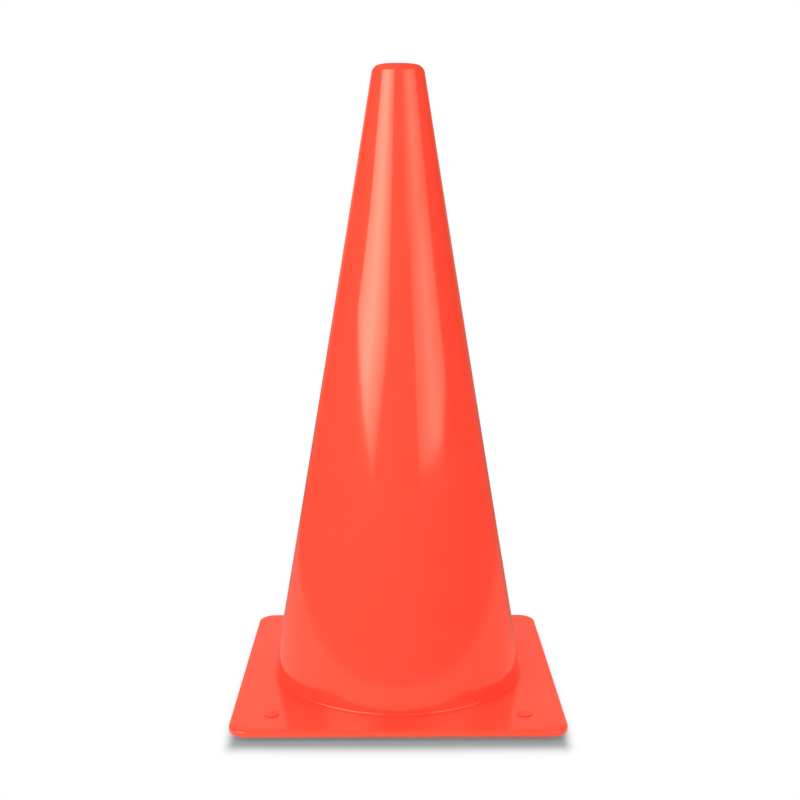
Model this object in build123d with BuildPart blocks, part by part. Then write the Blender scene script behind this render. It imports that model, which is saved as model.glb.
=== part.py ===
from build123d import *
import os
from math import acos, atan2, cos, degrees, radians, sin, tan

# Sports marker cone: a hollow cone that snaps into a square base plate, which stands on four
# push-in feet. Millimetres, +Z up, ground at z = 0 under the cone's axis, front towards -Y.

# Whole object
total_height = 380.0

# Cone shell
cone_wall = 1.6
top_hole_radius = 6.5
top_rim_width = 2.1
shoulder_radius = 7.2
foot_radius = 76.9
foot_lean = 5.0
foot_blend = 210.0
flare_reach = 0.75
flare_slope = 43.0
flare_edge = 0.7
flare_round = 1.0

# Snap fingers under the cone
snap_height = 2.2
barb_reach = 0.9
barb_land = 0.6
slot_count = 12
slot_width = 2.0

# Base plate
base_side = 194.0
base_corner = 11.0
base_height = 3.5
plate_wall = 2.0
skirt_wall = 2.0
edge_round = 1.2
skirt_edge_round = 0.4

# Feet
ground_gap = 3.0
foot_inset = 23.3
pad_radius = 6.0
pad_round = 0.8
stem_radius = 3.2
head_radius = 4.75
head_edge = 0.3
head_crown = 0.5

# Clearances
seat_gap = 0.15
snap_gap = 0.1
stem_gap = 0.1
head_gap = 0.05

# Heights that the pieces share
plate_top = ground_gap + base_height
plate_under = plate_top - plate_wall
slot_top = plate_top - plate_wall / 2
snap_top = plate_under - snap_gap
snap_bottom = snap_top - snap_height

# Radii that the pieces share
flare_radius = foot_radius + flare_reach
hole_radius = foot_radius + seat_gap
barb_radius = hole_radius + barb_reach
shoulder_start = top_hole_radius + top_rim_width
wall_middle = foot_radius - cone_wall / 2

# The flare's slope starts above its upright edge and runs up into the wall
flare_start = plate_top + flare_edge
flare_top = flare_start + flare_reach / tan(radians(flare_slope))
flare_tip = flare_start + (flare_radius - wall_middle) / tan(radians(flare_slope))

# The wall leaves the plate at the foot's lean and bends over on the foot blend's circle. The slanted
# side is the straight line that touches that circle and the shoulder's circle, so its angle from
# upright follows from the two centres and the two radii.
lean_out = cos(radians(foot_lean))
lean_up = sin(radians(foot_lean))
blend_centre = Vector(foot_radius - foot_blend * lean_out, plate_top - foot_blend * lean_up)
shoulder_centre = Vector(shoulder_start, total_height - shoulder_radius)
centre_line = shoulder_centre - blend_centre
touch_turn = degrees(acos((foot_blend - shoulder_radius) / centre_line.length))
side_angle = degrees(atan2(centre_line.Y, centre_line.X)) - touch_turn

os.makedirs("parts", exist_ok=True)


def cone_side(inset):
    # One face of the cone's wall, from the top hole's rim to the foot, set in from the outside
    # by inset. Gives the two ends.
    rim = Line((top_hole_radius, total_height - inset), (shoulder_start, total_height - inset))
    shoulder = JernArc(rim @ 1, (1, 0), shoulder_radius - inset, side_angle - 90)
    foot_end = blend_centre + Vector(lean_out, lean_up) * (foot_blend - inset)
    blend = JernArc(foot_end, (-lean_up, lean_out), foot_blend - inset, side_angle - foot_lean)
    Line(shoulder @ 1, blend @ 1)
    return rim @ 0, foot_end


# Cone shell: wall, the flare that seats it on the plate, and the barbed ring, turned about the axis
with BuildPart() as cone_shell:
    with BuildSketch(Plane.XZ) as cone_profile:
        with BuildLine():
            outer_rim, outer_foot = cone_side(0)
            inner_rim, inner_foot = cone_side(cone_wall)
            Line(outer_rim, inner_rim)
            Polyline(
                outer_foot,
                (foot_radius, snap_top),
                (barb_radius, snap_top),
                (barb_radius, snap_top - barb_land),
                (foot_radius, snap_bottom),
                (inner_foot.X, snap_bottom),
                inner_foot,
            )
        make_face()
        with BuildLine():
            Polyline(
                (wall_middle, plate_top),
                (flare_radius, plate_top),
                (flare_radius, flare_start),
                (wall_middle, flare_tip),
                close=True,
            )
        make_face()
        flare_corner = cone_profile.vertices().sort_by_distance((foot_radius, flare_top))[0]
        fillet(flare_corner, flare_round)
    revolve(axis=Axis.Z)
    # Slots divide the barbed ring into fingers that bend as the cone is pressed home
    slot_length = 2 * (barb_radius - wall_middle + cone_wall)
    with Locations((0, 0, snap_bottom)):
        with PolarLocations(wall_middle, slot_count):
            Box(
                slot_length,
                slot_width,
                slot_top - snap_bottom,
                align=(Align.CENTER, Align.CENTER, Align.MIN),
                mode=Mode.SUBTRACT,
            )

cone_shell.part.label = "cone_shell"
export_step(cone_shell.part, "parts/cone_shell.step")

# Base plate: a square tray turned upside down, with a round hole whose edge carries the cone's flare
foot_spacing = base_side - 2 * foot_inset

with BuildPart() as base_plate:
    with BuildSketch(Plane.XY.offset(ground_gap)):
        RectangleRounded(base_side, base_side, base_corner)
    extrude(amount=base_height)
    fillet(base_plate.faces().sort_by(Axis.Z)[-1].edges(), edge_round)
    fillet(base_plate.faces().sort_by(Axis.Z)[0].edges(), skirt_edge_round)
    with BuildSketch(Plane.XY.offset(ground_gap)):
        inner_side = base_side - 2 * skirt_wall
        RectangleRounded(inner_side, inner_side, base_corner - skirt_wall)
    extrude(amount=base_height - plate_wall, mode=Mode.SUBTRACT)
    with Locations((0, 0, plate_top)):
        Hole(hole_radius)
        with GridLocations(foot_spacing, foot_spacing, 2, 2):
            Hole(stem_radius + stem_gap)

base_plate.part.label = "base_plate"
export_step(base_plate.part, "parts/base_plate.step")

# Push-in feet: a round pad under the plate, a stem through it and a low domed head on top
head_under = plate_top + head_gap
head_shoulder = head_under + head_edge
head_top = head_shoulder + head_crown
foot_corners = {
    "foot_front_left": (-1, -1),
    "foot_front_right": (1, -1),
    "foot_rear_left": (-1, 1),
    "foot_rear_right": (1, 1),
}

for foot_name, (side_x, side_y) in foot_corners.items():
    foot_place = Vector(side_x * foot_spacing / 2, side_y * foot_spacing / 2, 0)
    with BuildPart() as foot:
        with BuildSketch(Plane(foot_place, (1, 0, 0), (0, -1, 0))):
            with BuildLine():
                pad_arc = JernArc((pad_radius - pad_round, 0), (1, 0), pad_round, 90)
                Polyline(
                    pad_arc @ 1,
                    (pad_radius, plate_under),
                    (stem_radius, plate_under),
                    (stem_radius, head_under),
                    (head_radius, head_under),
                    (head_radius, head_shoulder),
                )
                TangentArc((0, head_top), (head_radius, head_shoulder), tangent=(1, 0))
                Polyline((0, head_top), (0, 0), pad_arc @ 0)
            make_face()
        revolve(axis=Axis(foot_place, (0, 0, 1)))
    foot.part.label = foot_name
    export_step(foot.part, f"parts/{foot_name}.step")
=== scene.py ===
import bmesh
import bpy
import numpy as np
from mathutils import Matrix


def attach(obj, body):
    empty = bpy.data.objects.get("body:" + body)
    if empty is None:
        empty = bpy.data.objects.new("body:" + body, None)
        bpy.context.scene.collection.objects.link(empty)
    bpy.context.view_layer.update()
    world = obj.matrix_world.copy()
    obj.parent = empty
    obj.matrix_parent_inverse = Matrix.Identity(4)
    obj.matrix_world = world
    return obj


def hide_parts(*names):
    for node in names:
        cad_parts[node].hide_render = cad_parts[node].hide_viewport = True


# Orange marker cone on its square plate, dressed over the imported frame. Sizes are in millimetres.
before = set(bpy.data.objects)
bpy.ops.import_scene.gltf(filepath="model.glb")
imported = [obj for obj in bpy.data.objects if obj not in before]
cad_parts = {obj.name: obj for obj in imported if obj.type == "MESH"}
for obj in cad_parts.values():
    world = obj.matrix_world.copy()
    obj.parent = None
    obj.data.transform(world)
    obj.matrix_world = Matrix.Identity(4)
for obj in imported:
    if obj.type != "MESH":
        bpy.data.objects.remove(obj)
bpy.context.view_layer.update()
mm = 0.001      # metres in a millimetre
white = (1.0, 1.0, 1.0, 1.0)
print("frame loaded:", ", ".join(sorted(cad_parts)))


class Wire:
    # a node socket that can stand in a sum: every operator adds one Math node
    def __init__(self, bench, socket):
        self.bench = bench
        self.socket = socket

    def maths(self, operation, first, second):
        return self.bench.node("ShaderNodeMath", {"operation": operation}, {0: first, 1: second})

    def __add__(self, other):
        return self.maths("ADD", self, other)

    def __radd__(self, other):
        return self.maths("ADD", other, self)

    def __sub__(self, other):
        return self.maths("SUBTRACT", self, other)

    def __rsub__(self, other):
        return self.maths("SUBTRACT", other, self)

    def __mul__(self, other):
        return self.maths("MULTIPLY", self, other)

    def __rmul__(self, other):
        return self.maths("MULTIPLY", other, self)


class Bench:
    # one node tree while it is being wired
    def __init__(self, owner):
        owner.use_nodes = True
        self.tree = owner.node_tree
        self.tree.nodes.clear()

    def node(self, kind, settings=None, sockets=None, out=0):
        made = self.tree.nodes.new(kind)
        for name, value in (settings or {}).items():
            setattr(made, name, value)
        for name, value in (sockets or {}).items():
            if isinstance(value, Wire):
                self.tree.links.new(value.socket, made.inputs[name])
            else:
                made.inputs[name].default_value = value
        return Wire(self, made.outputs[out]) if made.outputs else made

    def noise(self, vector, scale, detail, roughness):
        sockets = {"Vector": vector, "Scale": scale, "Detail": detail, "Roughness": roughness}
        return self.node("ShaderNodeTexNoise", None, sockets)

    def ease(self, value, low, high):
        # 0 below low, 1 above high, a smooth S between
        sockets = {"Value": value, "From Min": low, "From Max": high}
        return self.node("ShaderNodeMapRange", {"interpolation_type": "SMOOTHSTEP"}, sockets)

    def blendColour(self, share, first, second):
        return self.node("ShaderNodeMix", {"data_type": "RGBA"}, {0: share, 6: first, 7: second}, out=2)

    def parts(self, vector):
        split = self.node("ShaderNodeSeparateXYZ", None, {0: vector}).socket.node
        return [Wire(self, socket) for socket in split.outputs]

    def finish(self, shader, kind="ShaderNodeOutputMaterial"):
        self.node(kind, None, {"Surface": shader})


# Shapes

skin = {
    "sharp": 40.0,          # degrees, a steeper edge stays crisp
    "weld": 0.002,          # points closer than this become one
}


def arc(centreR, centreZ, radius, start, end, count):
    # circle about (centreR, centreZ) from angle start to angle end in degrees, as (r, z) rows
    angle = np.radians(np.linspace(start, end, count))
    return np.column_stack((centreR + radius * np.cos(angle), centreZ + radius * np.sin(angle)))


def spin(profile, turns, centre=(0.0, 0.0)):
    # every (r, z) of a closed profile goes round an upright axis: x = r cos a, y = r sin a
    angle = np.linspace(0, 2 * np.pi, turns, endpoint=False)
    r = profile[:, :1]
    x = centre[0] + r * np.cos(angle)
    y = centre[1] + r * np.sin(angle)
    z = np.broadcast_to(profile[:, 1:], x.shape)
    return np.stack((x, y, z), axis=-1)


def gridFaces(rows, columns):
    # quads of a grid that closes on itself both ways
    row = np.arange(rows)[:, None]
    column = np.arange(columns)[None, :]
    nextRow = (row + 1) % rows
    nextColumn = (column + 1) % columns
    corners = (
        row * columns + column,
        row * columns + nextColumn,
        nextRow * columns + nextColumn,
        nextRow * columns + column,
    )
    return np.stack(corners, axis=-1).reshape(-1, 4)


def closedPiece(name, points):
    # a grid of points (rows, columns, xyz) in millimetres becomes a closed mesh object at the origin
    rows, columns = points.shape[:2]
    mesh = bpy.data.meshes.new(name)
    mesh.from_pydata((points.reshape(-1, 3) * mm).tolist(), [], gridFaces(rows, columns).tolist())
    tidy = bmesh.new()
    tidy.from_mesh(mesh)
    bmesh.ops.remove_doubles(tidy, verts=tidy.verts, dist=skin["weld"] * mm)
    bmesh.ops.recalc_face_normals(tidy, faces=tidy.faces)
    tidy.to_mesh(mesh)
    tidy.free()
    piece = bpy.data.objects.new(name, mesh)
    bpy.context.scene.collection.objects.link(piece)
    smoothPiece(piece)
    return piece


def smoothPiece(piece):
    mesh = piece.data
    mesh.polygons.foreach_set("use_smooth", np.ones(len(mesh.polygons), bool))
    mesh.set_sharp_from_angle(angle=np.radians(skin["sharp"]))


def cutAway(piece, cutter):
    # takes the cutter's volume out of the piece, then throws the cutter away
    cut = piece.modifiers.new("cut", "BOOLEAN")
    cut.operation = "DIFFERENCE"
    cut.solver = "EXACT"
    cut.object = cutter
    seen = piece.evaluated_get(bpy.context.evaluated_depsgraph_get())
    result = bpy.data.meshes.new_from_object(seen)
    piece.modifiers.clear()
    spare = piece.data
    piece.data = result
    bpy.data.meshes.remove(spare)
    bpy.data.objects.remove(cutter)
    smoothPiece(piece)


# Cone

cone = {
    "height": 380.0,
    "wall": 1.6,
    "holeRadius": 6.5,
    "rimWidth": 3.65,
    "shoulder": 5.8,
    "footRadius": 77.4,
    "neckRadius": 76.9,     # where the cone passes down through the plate
    "footLean": 5.0,        # degrees from upright where the wall meets the plate
    "footBlend": 210.0,
    "bow": 0.45,            # how far the slanted side is drawn in at half its length
    "flareReach": 0.08,     # the step at the top of the low ring that seats the cone on the plate
    "flareSlope": 31.0,     # degrees from upright
    "flareEdge": 1.35,
    "flareLean": 11.0,      # degrees from upright, below the step
    "flareRound": 0.25,     # hollow above the step,
    "flareSoft": 0.06,      # soft corner under it,
    "flareFoot": 0.08,      # and soft corner at the plate
    "plateTop": 6.5,
    "slotTop": 5.5,
    "barbTop": 4.4,
    "barbLand": 0.6,
    "barbReach": 1.05,
    "fingerEnd": 2.2,
    "fingers": 12,
    "slotWidth": 2.0,
    "slotDepth": 4.0,       # inwards and outwards from the neck
    "slotBelow": 1.0,       # the cutters start this far under the fingers
    "rimEdge": 0.25,        # softened corners at the top hole
    "circleSteps": 24,
    "sideSteps": 64,
    "hollowSteps": 12,
    "softSteps": 5,
    "cornerSteps": 6,
    "turns": 288,
}


def blendCentre(c):
    # centre of the foot's large circle, back from the foot along its leaning normal
    lean = np.radians(c["footLean"])
    return c["footRadius"] - c["footBlend"] * np.cos(lean), c["plateTop"] - c["footBlend"] * np.sin(lean)


def coneSide(c, inset, lastTurn):
    # shoulder circle, slanted side drawn in by bow * 4t(1 - t), foot circle down to lastTurn
    shoulderR = c["holeRadius"] + c["rimWidth"]
    shoulderZ = c["height"] - c["shoulder"]
    blendR, blendZ = blendCentre(c)
    run, rise = shoulderR - blendR, shoulderZ - blendZ
    span = np.hypot(run, rise)
    turn = np.degrees(np.arccos((c["footBlend"] - c["shoulder"]) / span))
    slope = np.degrees(np.arctan2(rise, run)) - turn
    ease = np.degrees(4 * c["bow"] / span)      # the bowed side leaves both circles by this much later
    shoulder = arc(shoulderR, shoulderZ, c["shoulder"] - inset, 90, slope - ease, c["circleSteps"])
    blend = arc(blendR, blendZ, c["footBlend"] - inset, slope + ease, lastTurn, c["circleSteps"])
    t = np.linspace(0, 1, c["sideSteps"] + 2)[1:-1, None]
    side = shoulder[-1] + (blend[0] - shoulder[-1]) * t
    normal = np.array([np.cos(np.radians(slope)), np.sin(np.radians(slope))])
    side = side - normal * c["bow"] * 4 * t * (1 - t)
    return np.vstack((shoulder, side, blend))


def flareCurve(c):
    # hollow circle that touches the foot's large circle and the flare's slope: its centre stands
    # footBlend + flareRound from the one centre and flareRound from the slope's line. Below it the
    # flare's edge leans out, down to the plate, with a soft corner at each end
    slope, lean = np.radians(c["flareSlope"]), np.radians(c["flareLean"])
    out = np.array([np.cos(slope), np.sin(slope)])
    along = np.array([-np.sin(slope), np.cos(slope)])
    start = np.array([c["footRadius"] + c["flareReach"], c["plateTop"] + c["flareEdge"]])
    big = np.array(blendCentre(c))
    reach = start + out * c["flareRound"] - big
    between = c["footBlend"] + c["flareRound"]
    climb = -reach @ along - np.sqrt((reach @ along) ** 2 - reach @ reach + between ** 2)
    centre = big + reach + along * climb
    wallTurn = np.degrees(np.arctan2(centre[1] - big[1], centre[0] - big[0]))
    curve = arc(*centre, c["flareRound"], 180 + wallTurn, 180 + c["flareSlope"], c["hollowSteps"])
    half, middle = (slope - lean) / 2, (slope + lean) / 2
    corner = start - np.array([np.cos(middle), np.sin(middle)]) * c["flareSoft"] / np.cos(half)
    step = arc(*corner, c["flareSoft"], c["flareSlope"], c["flareLean"], c["softSteps"])
    low = c["flareFoot"]
    lowR = start[0] + (c["flareEdge"] - low) * np.tan(lean) - low / np.cos(lean)
    seat = arc(lowR, c["plateTop"] + low, low, c["flareLean"], -90, c["cornerSteps"])
    return wallTurn, np.vstack((curve[1:], step, seat))


def coneProfile(c):
    # one closed loop of (r, z): hole edge, outside down to the flare and fingers, inside back up
    rim, steps = c["rimEdge"], c["cornerSteps"]
    wallTurn, flare = flareCurve(c)
    outside = coneSide(c, 0.0, wallTurn)
    inside = coneSide(c, c["wall"], c["footLean"])[::-1]
    innerR = inside[0, 0]
    barbR = c["neckRadius"] + c["barbReach"]
    barbLow = c["barbTop"] - c["barbLand"]
    return np.vstack((
        arc(c["holeRadius"] + rim, c["height"] - rim, rim, 180, 90, steps)[:-1],
        outside,
        flare,
        [(c["neckRadius"], c["plateTop"])],
        [(c["neckRadius"], c["barbTop"]), (barbR, c["barbTop"]), (barbR, barbLow)],
        [(c["neckRadius"], c["fingerEnd"]), (innerR, c["fingerEnd"])],
        inside,
        arc(c["holeRadius"] + rim, c["height"] - c["wall"] + rim, rim, 270, 180, steps)[1:],
    ))


def fingerSlots(c):
    # upright boxes on a circle: corner = neck radius and radial, sideways and upward half sizes
    angle = np.linspace(0, 2 * np.pi, c["fingers"], endpoint=False)[:, None]
    radial = np.array([-1, 1, 1, -1, -1, 1, 1, -1]) * c["slotDepth"] + c["neckRadius"]
    sideways = np.array([-1, -1, 1, 1, -1, -1, 1, 1]) * c["slotWidth"] / 2
    upward = np.repeat([c["fingerEnd"] - c["slotBelow"], c["slotTop"]], 4)
    x = radial * np.cos(angle) - sideways * np.sin(angle)
    y = radial * np.sin(angle) + sideways * np.cos(angle)
    points = np.stack((x, y, np.broadcast_to(upward, x.shape)), axis=-1).reshape(-1, 3) * mm
    sides = [(0, 3, 2, 1), (4, 5, 6, 7), (0, 1, 5, 4), (1, 2, 6, 5), (2, 3, 7, 6), (3, 0, 4, 7)]
    firstCorner = len(radial) * np.arange(c["fingers"])
    faces = (np.array(sides) + firstCorner[:, None, None]).reshape(-1, 4)
    mesh = bpy.data.meshes.new("slots")
    mesh.from_pydata(points.tolist(), [], faces.tolist())
    slots = bpy.data.objects.new("slots", mesh)
    bpy.context.scene.collection.objects.link(slots)
    return slots


coneShell = closedPiece("coneShell", spin(coneProfile(cone), cone["turns"]))
cutAway(coneShell, fingerSlots(cone))
print("cone made:", len(coneShell.data.polygons), "faces")


# Plate

plate = {
    "side": 194.0,
    "corner": 11.0,
    "top": 6.5,
    "wall": 2.0,
    "skirt": 2.0,
    "bottom": 3.0,
    "edgeRound": 1.2,
    "skirtRound": 0.4,
    "innerRound": 0.6,      # inside corner between the plate and its turned-down edge
    "holeRadius": 77.05,
    "holeEdge": 0.08,
    "cornerSteps": 20,
    "sideSteps": 44,
    "rimSteps": 10,
    "softSteps": 5,
    "deckRings": 8,
    "footInset": 23.3,
    "footHole": 3.3,
    "drillTop": 12.0,
    "drillTurns": 48,
}


def squarePath(p):
    # a square through the corner centres, and the outward direction at each of its points
    half = p["side"] / 2 - p["corner"]
    turn = np.linspace(0, np.pi / 2, p["cornerSteps"], endpoint=False)
    along = np.linspace(half, -half, p["sideSteps"], endpoint=False)
    cornerDirection = np.column_stack((np.cos(turn), np.sin(turn)))
    corner = np.full((p["cornerSteps"], 2), half)
    straight = np.column_stack((along, np.full(p["sideSteps"], half)))
    straightDirection = np.tile([0.0, 1.0], (p["sideSteps"], 1))
    path = np.vstack((corner, straight))
    direction = np.vstack((cornerDirection, straightDirection))
    quarter = np.arange(4)[:, None] * np.pi / 2
    cosine, sine = np.cos(quarter), np.sin(quarter)

    def allRound(points):
        x = points[:, 0] * cosine - points[:, 1] * sine
        y = points[:, 0] * sine + points[:, 1] * cosine
        return np.column_stack((x.ravel(), y.ravel()))

    return allRound(path), allRound(direction)


def plateLoops(p):
    # rings that close up, each a square offset inward by d, or a circle of radius r, or a share of
    # both, at height z
    edge, low, inner, lipEdge = p["edgeRound"], p["skirtRound"], p["innerRound"], p["holeEdge"]
    steps = p["softSteps"]
    under = p["top"] - p["wall"]
    rim = arc(edge, p["top"] - edge, edge, 180, 90, p["rimSteps"])
    hem = arc(low, p["bottom"] + low, low, 270, 180, steps)
    nook = arc(p["skirt"] + inner, under - inner, inner, 90, 180, steps)
    lip = arc(p["holeRadius"] + lipEdge, p["top"] - lipEdge, lipEdge, 90, 180, steps)
    deck = np.linspace(0, 1, p["deckRings"])
    rings = [(d, 0.0, 0.0, z) for d, z in rim]
    rings += [(edge, lip[0, 0], share, p["top"]) for share in deck[1:-1]]
    rings += [(0.0, r, 1.0, z) for r, z in lip]
    rings += [(nook[0, 0], p["holeRadius"], 1.0 - share, under) for share in deck[:-1]]
    rings += [(d, 0.0, 0.0, z) for d, z in nook]
    rings += [(p["skirt"], 0.0, 0.0, p["bottom"])]
    rings += [(d, 0.0, 0.0, z) for d, z in hem]
    return np.array(rings)


def platePoints(p):
    # each ring = (1 - share) * offset square + share * circle, at its own height
    path, direction = squarePath(p)
    inward, radius, share, z = (column[:, None, None] for column in plateLoops(p).T)
    square = path + direction * (p["corner"] - inward)
    outline = path + direction * p["corner"]
    circle = outline / np.linalg.norm(outline, axis=1, keepdims=True) * radius
    flat = square * (1 - share) + circle * share
    height = np.broadcast_to(z, flat.shape[:2] + (1,))
    return np.concatenate((flat, height), axis=-1)


def footHoles(p):
    # four upright drills through the plate at the feet, each a rectangle spun about its own axis
    radius, top = p["footHole"], p["drillTop"]
    drill = np.array([(0.0, 0.0), (radius, 0.0), (radius, top), (0.0, top)])
    place = p["side"] / 2 - p["footInset"]
    corners = [(x * place, y * place) for x in (-1, 1) for y in (-1, 1)]
    return [closedPiece("drill", spin(drill, p["drillTurns"], corner)) for corner in corners]


basePlate = closedPiece("basePlate", platePoints(plate))
for drill in footHoles(plate):
    cutAway(basePlate, drill)
print("plate made:", len(basePlate.data.polygons), "faces")


# Feet

foot = {
    "padRadius": 6.0,
    "padRound": 0.8,
    "padTop": 4.5,
    "stemRadius": 3.2,
    "headUnder": 6.8,
    "headTop": 7.65,
    "headCrown": 0.45,
    "headRadius": 4.15,
    "headEdge": 0.22,       # rounding between the dome and its upright edge
    "edge": 0.08,
    "padSteps": 9,
    "edgeSteps": 4,
    "headSteps": 7,
    "domeSteps": 10,
    "turns": 64,
    "place": 73.7,          # from the axis, both ways
}


def footProfile(f):
    # from the middle of the pad out, up the stem and round the head, whose dome is part of a circle
    # of radius (head radius squared + crown squared) / (2 * crown)
    dome = (f["headRadius"] ** 2 + f["headCrown"] ** 2) / (2 * f["headCrown"])
    domeZ = f["headTop"] - dome
    edge, soft = f["edge"], f["headEdge"]
    turn = np.arcsin((f["headRadius"] - soft) / (dome - soft))
    softZ = domeZ + (dome - soft) * np.cos(turn)
    domeEnd = 90 - np.degrees(turn)
    return np.vstack((
        [(0.0, 0.0)],
        arc(f["padRadius"] - f["padRound"], f["padRound"], f["padRound"], -90, 0, f["padSteps"]),
        arc(f["padRadius"] - edge, f["padTop"] - edge, edge, 0, 90, f["edgeSteps"]),
        [(f["stemRadius"], f["padTop"]), (f["stemRadius"], f["headUnder"])],
        arc(f["headRadius"] - edge, f["headUnder"] + edge, edge, -90, 0, f["edgeSteps"]),
        arc(f["headRadius"] - soft, softZ, soft, 0, domeEnd, f["headSteps"]),
        arc(0.0, domeZ, dome, domeEnd, 90, f["domeSteps"])[1:],
    ))


feetCorners = {
    "foot_front_left": ("footFrontLeft", -1, -1),
    "foot_front_right": ("footFrontRight", 1, -1),
    "foot_rear_left": ("footRearLeft", -1, 1),
    "foot_rear_right": ("footRearRight", 1, 1),
}
feet = {}
for node, (name, sideX, sideY) in feetCorners.items():
    spot = (sideX * foot["place"], sideY * foot["place"])
    feet[node] = closedPiece(name, spin(footProfile(foot), foot["turns"], spot))
print("feet made:", len(feet))


# Finishes

conePaint = {
    # the cone's colour is a little darker in green and blue than the plate's, though both are the same
    # plastic: painted shade that offsets the extra light the cone gets
    "colour": (1.0, 0.0665, 0.0350, 1.0),
    "deep": (0.97, 0.0625, 0.0325, 1.0),
    "gloss": (1.0, 0.98, 0.70, 1.0),
    "roughness": 0.11,
    "roughSpread": 0.05,
    "peelSize": 1.6,        # millimetres between the bumps of the moulded skin
    "peelHeight": 0.0035,
    "waveSize": 45.0,
    "waveHeight": 0.03,
    "patchSize": 28.0,
    "scuffSize": 5.0,
    "scuffHeight": 0.0008,
    "scuffRough": 0.08,
    "scuffRange": (0.58, 0.78),     # noise below the first is clean, above the second is scuffed
    "flow": (160.0, 160.0, 9.0),    # streaks per metre along each axis
    "streakNoise": (4.0, 0.55),     # detail and grain of each noise
    "patchNoise": (3.0, 0.5),
    "scuffNoise": (6.0, 0.7),
    "skinNoise": (1.0, 0.4),
    "mainShare": 0.6,       # of the streaks in the colour, and of the patches in the gloss
    "shiftRange": (0.35, 0.7),
    "bending": 1.5,         # index of refraction
}
platePaint = dict(
    conePaint,
    colour=(1.0, 0.0735, 0.0385, 1.0),
    deep=(0.97, 0.069, 0.036, 1.0),
    roughness=0.15,
    roughSpread=0.08,
    peelSize=1.2,
    waveSize=30.0,
    waveHeight=0.02,
    flow=(60.0, 60.0, 60.0),
)
footPaint = dict(
    platePaint,
    roughness=0.42,
    roughSpread=0.1,
    peelSize=0.5,
    peelHeight=0.004,
    flow=(120.0, 120.0, 120.0),
)


def mouldedPlastic(name, paint):
    # skin of a glossy moulding: fine peel, slow waves, streaks where the melt ran, and faint scuffs
    made = bpy.data.materials.new(name)
    bench = Bench(made)
    place = bench.node("ShaderNodeTexCoord", out="Object")
    stretched = bench.node("ShaderNodeMapping", None, {"Vector": place, "Scale": paint["flow"]})
    streak = bench.noise(stretched, 1.0, *paint["streakNoise"])
    patch = bench.noise(place, 1 / (paint["patchSize"] * mm), *paint["patchNoise"])
    rubbed = bench.noise(place, 1 / (paint["scuffSize"] * mm), *paint["scuffNoise"])
    scuff = bench.ease(rubbed, *paint["scuffRange"])
    peel = bench.noise(place, 1 / (paint["peelSize"] * mm), *paint["skinNoise"])
    wave = bench.noise(place, 1 / (paint["waveSize"] * mm), *paint["skinNoise"])
    main, rest = paint["mainShare"], 1 - paint["mainShare"]
    shift = bench.ease(streak * main + patch * rest, *paint["shiftRange"])
    colour = bench.blendColour(shift, paint["deep"], paint["colour"])
    uneven = patch * main + streak * rest - 0.5     # about 0 on average
    rough = paint["roughness"] + paint["roughSpread"] * uneven + paint["scuffRough"] * scuff
    relief = peel * paint["peelHeight"] + wave * paint["waveHeight"] + scuff * paint["scuffHeight"]
    normal = bench.node("ShaderNodeBump", None, {"Strength": 1.0, "Distance": mm, "Height": relief})
    sockets = {
        "Base Color": colour,
        "Roughness": rough,
        "IOR": paint["bending"],
        "Specular Tint": paint["gloss"],
        "Normal": normal,
    }
    bench.finish(bench.node("ShaderNodeBsdfPrincipled", None, sockets))
    return made


def dress(piece, node, paint):
    piece.data.materials.clear()
    piece.data.materials.append(paint)
    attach(piece, "root")
    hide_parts(node)


dress(coneShell, "cone_shell", mouldedPlastic("coneOrange", conePaint))
dress(basePlate, "base_plate", mouldedPlastic("plateOrange", platePaint))
footOrange = mouldedPlastic("footOrange", footPaint)
for node, piece in feet.items():
    dress(piece, node, footOrange)
print("finishes done")


# Studio: white floor with a painted shadow near the object, tall soft lights, and a surround that only
# reflections see, a painted reflection of the room

studio = {
    "ambient": 0.64,
    "floorColour": (0.62, 0.62, 0.62, 1.0),
    "floorSize": 4000.0,
    "floorHeight": -0.05,   # just under the feet
    # near the object the floor's colour is painted dark: a painted shadow on top of the real one, tinted
    # cyan-grey to cancel the orange light bounced onto it
    "paintedShadeColour": (0.15, 0.2, 0.2, 1.0),
    "shadeGlow": 0.175,     # the floor glows a little by itself: painted light that lifts the shade under the object and lights it from below
    "shadeForward": 14.0,   # the painted shade on the floor is moved this far to the front,
    "shadeSide": (92.0, 103.0),     # and turns plain white between these distances from its middle
    "shadeFront": (84.5, 105.0),
    "lightDistance": 1000.0,
    "lightSteps": 33,
}
keyLight = {
    "azimuth": (-75.5, -16.5),
    "glow": (3.6, 7.3, 1.9),    # outer edge, middle, inner edge
    "bottom": (398.0, 345.0, 291.0, 238.0),
    "top": 1120.0,
    "dim": 0.0,             # how much weaker the lowest part is
    "dimHeight": 70.0,
    "bend": 0.08,           # degrees sideways for every millimetre below bendTop
    "bendTop": 430.0,
    "pinch": 5.0,           # degrees by which the outer edge is drawn in about pinchHeight
    "pinchHeight": 570.0,
    "pinchSpread": 130.0,
}
sideLow = dict(
    keyLight,
    azimuth=(26.0, 77.0),
    glow=(1.2, 3.5, 1.4),
    bottom=(243.0, 243.0, 243.0, 300.0),
    top=548.0,
    dim=-0.25,
    bend=0.0,
    pinch=0.0,
)
sideHigh = dict(
    keyLight,
    azimuth=(14.0, 78.0),
    glow=(0.1, 3.1, 1.2),
    bottom=(548.0, 548.0),
    dim=0.3,
    bend=0.0,
    pinch=0.0,
)
topLight = {
    "place": (0.0, 640.0, 1030.0),
    "size": (800.0, 600.0),
    "power": 5.0,
}
footLight = {
    "place": (285.0, 50.0, 45.0),
    "size": (120.0, 60.0),
    "power": 0.12,
}
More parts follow.
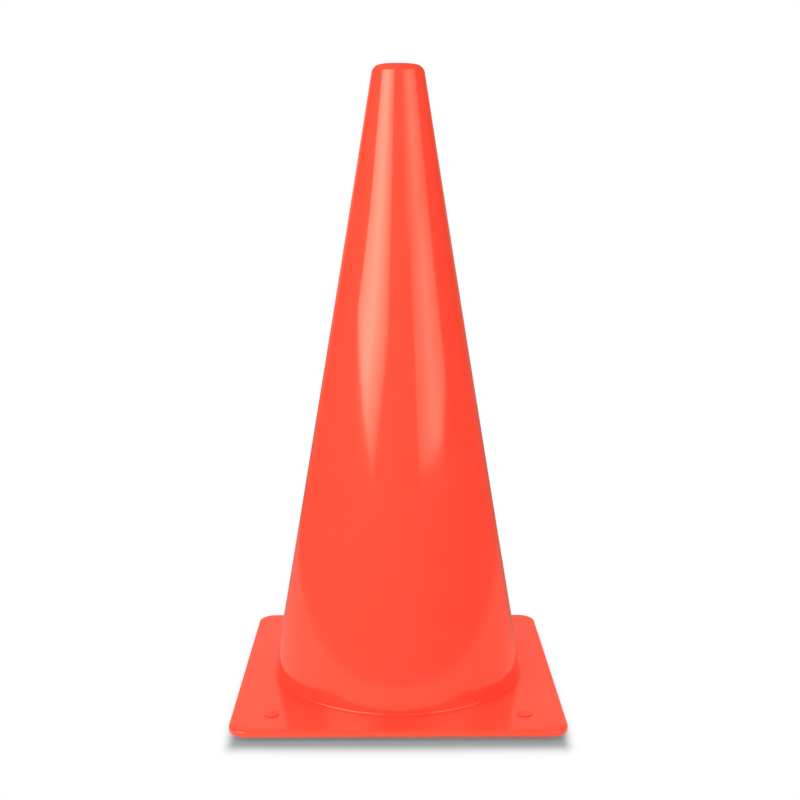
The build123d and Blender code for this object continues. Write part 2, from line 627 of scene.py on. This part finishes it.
# a painted reflection: a dark studio, a floor lit brighter at the front and left and darker behind where
# the cone shades it, a lit wall behind and a dim ceiling
surround = {
    "inner": 40.0,          # the floor and the ceiling start here, near the axis
    "opening": 480.0,       # the floor is pale up to here
    "fade": 20.0,           # half the width over which it turns dark
    "floorHeight": 0.5,
    "distance": 1100.0,
    "ceiling": 1600.0,
    "colour": (1.0, 0.97, 0.8, 1.0),
    "dark": 0.02,
    "rear": 0.44,           # behind, from rearHeight up
    "rearLow": 0.14,        # behind, at the floor
    "rearHeight": 420.0,
    "rearTop": 560.0,       # the tone behind ends here,
    "rearEnd": 660.0,       # and is gone here
    "rearLean": 0.4,        # painted light: how much brighter the left is than the right, as the key light falls from the left
    "rearFrom": 105.0,      # degrees from the front, at the floor
    "rearTo": 155.0,
    "wallFrom": 128.0,      # and higher up
    "wallTo": 165.0,
    "floorFront": 0.92,
    "floorLean": 0.12,      # painted light: how much brighter the floor is at the left than at the right, as the key light falls from the left
    "floorRear": 0.21,
    "floorFrom": 40.0,      # degrees from the front where the floor starts to darken,
    "floorTo": 150.0,       # and is as dark as at the rear
    "overhead": 0.1,
    "turns": 73,
}


def openPiece(name, points):
    # a grid of points (rows, columns, xyz) in millimetres as an open sheet
    rows, columns = points.shape[:2]
    quads = gridFaces(rows, columns).reshape(rows, columns, 4)[:-1, :-1].reshape(-1, 4)
    mesh = bpy.data.meshes.new(name)
    mesh.from_pydata((points.reshape(-1, 3) * mm).tolist(), [], quads.tolist())
    piece = bpy.data.objects.new(name, mesh)
    bpy.context.scene.collection.objects.link(piece)
    return piece


def glowSheet(name, points, glow, colour=white):
    # an open sheet that shines with its own strength at each point, unseen by the camera
    sheet = openPiece(name, points)
    level = sheet.data.attributes.new("glow", "FLOAT", "POINT")
    level.data.foreach_set("value", np.ascontiguousarray(glow, np.float32).ravel())
    paint = bpy.data.materials.new(name)
    bench = Bench(paint)
    strength = bench.node("ShaderNodeAttribute", {"attribute_name": "glow"}, out="Fac")
    bench.finish(bench.node("ShaderNodeEmission", None, {"Color": colour, "Strength": strength}))
    sheet.data.materials.append(paint)
    sheet.visible_camera = False
    return sheet


def softLight(name, s, light):
    # sheet on an upright cylinder: azimuth across, height up; its outer edge may be drawn in by a bell
    # curve of height, its lower part may bend sideways, and it is brightest along its middle
    across = np.linspace(0, 1, s["lightSteps"])
    up = across[:, None]
    bottom = np.interp(across, np.linspace(0, 1, len(light["bottom"])), light["bottom"])
    z = bottom + (light["top"] - bottom) * up
    azimuth = light["azimuth"][0] + (light["azimuth"][1] - light["azimuth"][0]) * across
    pinch = light["pinch"] * np.exp(-((z - light["pinchHeight"]) / light["pinchSpread"]) ** 2)
    azimuth = azimuth + pinch * (1 - across)
    azimuth = np.radians(azimuth - light["bend"] * np.maximum(light["bendTop"] - z, 0))
    x = s["lightDistance"] * np.sin(azimuth)
    y = -s["lightDistance"] * np.cos(azimuth)
    low = np.clip(1 - (z - bottom) / light["dimHeight"], 0, 1)
    glow = np.interp(across, np.linspace(0, 1, len(light["glow"])), light["glow"])
    glowSheet(name, np.stack((x, y, z), -1), glow * (1 - light["dim"] * low))


def flatLamp(name, light):
    # a flat lamp that faces the foot of the cone, and lights it without showing in its gloss
    lamp = bpy.data.lights.new(name, "AREA")
    lamp.shape = "RECTANGLE"
    lamp.size, lamp.size_y = (value * mm for value in light["size"])
    lamp.energy = light["power"]
    holder = bpy.data.objects.new(name, lamp)
    holder.location = [value * mm for value in light["place"]]
    holder.rotation_euler = holder.location.to_track_quat("Z", "Y").to_euler()
    holder.visible_glossy = False
    holder.visible_camera = False
    bpy.context.scene.collection.objects.link(holder)


def easeBetween(value, low, high):
    # 0 below low, 1 above high, 3t^2 - 2t^3 between
    t = np.clip((value - low) / (high - low), 0, 1)
    return t * t * (3 - 2 * t)


def paintedReflectionSurround(s):
    # a profile of floor, wall and ceiling goes round the object as a painted reflection that only
    # reflections see; its tone follows the azimuth
    azimuth = np.linspace(-180, 180, s["turns"])
    right, away = np.sin(np.radians(azimuth)), np.abs(azimuth)
    wall, floor, ceiling = s["distance"], s["floorHeight"], s["ceiling"]
    profile = np.array([
        (s["inner"], floor),
        (s["opening"] - s["fade"], floor),
        (s["opening"] + s["fade"], floor),
        (wall, floor),
        (wall, s["rearHeight"]),
        (wall, s["rearTop"]),
        (wall, s["rearEnd"]),
        (wall, ceiling),
        (s["inner"], ceiling),
    ])
    x = profile[:, :1] * right
    y = -profile[:, :1] * np.cos(np.radians(azimuth))
    points = np.stack((x, y, np.broadcast_to(profile[:, 1:], x.shape)), -1)
    lean = 1 - s["rearLean"] * right
    front = s["floorFront"] * (1 - s["floorLean"] * right)
    rear = s["floorRear"] * lean
    near = front + (rear - front) * easeBetween(away, s["floorFrom"], s["floorTo"])
    low = s["dark"] + (s["rearLow"] - s["dark"]) * easeBetween(away, s["rearFrom"], s["rearTo"])
    tall = s["rear"] * lean
    high = s["dark"] + (tall - s["dark"]) * easeBetween(away, s["wallFrom"], s["wallTo"])
    over = np.full_like(azimuth, s["overhead"])
    tones = np.stack((near, near, low, low, high, high, over, over, over))      # one for each profile row
    sheet = glowSheet("surround", points, tones, s["colour"])
    sheet.visible_diffuse = False
    sheet.visible_shadow = False


def seenPart(bench):
    # 1 for what the camera, a reflection or clear material looks at, 0 for light that only fills
    path = bench.node("ShaderNodeLightPath").socket.node
    direct, glossy, through = (
        Wire(bench, path.outputs[name])
        for name in ("Is Camera Ray", "Is Glossy Ray", "Is Transmission Ray")
    )
    return bench.ease(direct + glossy + through, 0.0, 1.0)


def whiteFloor(s):
    # a flat square: near the object its colour is painted dark as a painted shadow on top of the real
    # shade, plain white further out, clear from below
    span = np.array([-s["floorSize"], s["floorSize"]])
    x, y = np.meshgrid(span, span)
    floor = openPiece("floor", np.stack((x, y, np.full_like(x, s["floorHeight"])), axis=-1))
    paint = bpy.data.materials.new("floorWhite")
    bench = Bench(paint)
    place = bench.node("ShaderNodeTexCoord", out="Object")
    forward = (0.0, s["shadeForward"] * mm, 0.0)
    moved = bench.node("ShaderNodeMapping", None, {"Vector": place, "Location": forward})
    folded = bench.node("ShaderNodeVectorMath", {"operation": "ABSOLUTE"}, {0: moved})
    sideways, along = bench.parts(folded)[:2]
    wide = bench.ease(sideways, *(limit * mm for limit in s["shadeSide"]))
    deep = bench.ease(along, *(limit * mm for limit in s["shadeFront"]))
    far = 1 - (1 - wide) * (1 - deep)
    # painted shadow: the floor's colour is dark near the object and plain further out
    tone = bench.blendColour(far, s["paintedShadeColour"], s["floorColour"])
    lit = bench.node("ShaderNodeBsdfDiffuse", None, {"Color": tone})
    # the floor's own glow, painted light that lifts the shade
    floorGlow = bench.node("ShaderNodeEmission", None, {"Color": white, "Strength": s["shadeGlow"]})
    shaded = bench.node("ShaderNodeAddShader", None, {0: lit, 1: floorGlow})
    plain = bench.node("ShaderNodeEmission", None, {"Color": white, "Strength": 1.0})
    surface = bench.node("ShaderNodeMixShader", None, {0: far * seenPart(bench), 1: shaded, 2: plain})
    clear = bench.node("ShaderNodeBsdfTransparent")
    behind = bench.node("ShaderNodeNewGeometry", out="Backfacing")
    bench.finish(bench.node("ShaderNodeMixShader", None, {0: behind, 1: surface, 2: clear}))
    floor.data.materials.append(paint)


def whiteRoom(s):
    # white to look at, ambient as a light
    room = bpy.data.worlds.new("whiteRoom")
    bpy.context.scene.world = room
    bench = Bench(room)
    strength = s["ambient"] + (1 - s["ambient"]) * seenPart(bench)
    sky = bench.node("ShaderNodeBackground", None, {"Color": white, "Strength": strength})
    bench.finish(sky, "ShaderNodeOutputWorld")


whiteFloor(studio)
whiteRoom(studio)
paintedReflectionSurround(surround)
softLight("keyLight", studio, keyLight)
softLight("sideLow", studio, sideLow)
softLight("sideHigh", studio, sideHigh)
flatLamp("topLight", topLight)
flatLamp("footLight", footLight)
print("studio set")


# Camera

view = {
    "lens": 56.22,
    "sensor": 36.0,
    "place": (-3.98, -758.8, 311.34),
    "down": 9.864,          # degrees
    "turn": -0.4,
    "roll": 0.06,
}
eye = bpy.data.cameras.new("eye")
eye.lens = view["lens"]
eye.sensor_width = view["sensor"]
camera = bpy.data.objects.new("eye", eye)
camera.location = [value * mm for value in view["place"]]
turned = Matrix.Rotation(np.radians(view["turn"]), 3, "Z")
tipped = Matrix.Rotation(np.radians(90 - view["down"]), 3, "X")
rolled = Matrix.Rotation(np.radians(view["roll"]), 3, "Z")
camera.rotation_euler = (turned @ tipped @ rolled).to_euler()
bpy.context.scene.collection.objects.link(camera)
bpy.context.scene.camera = camera
bpy.context.scene.view_settings.view_transform = "Standard"
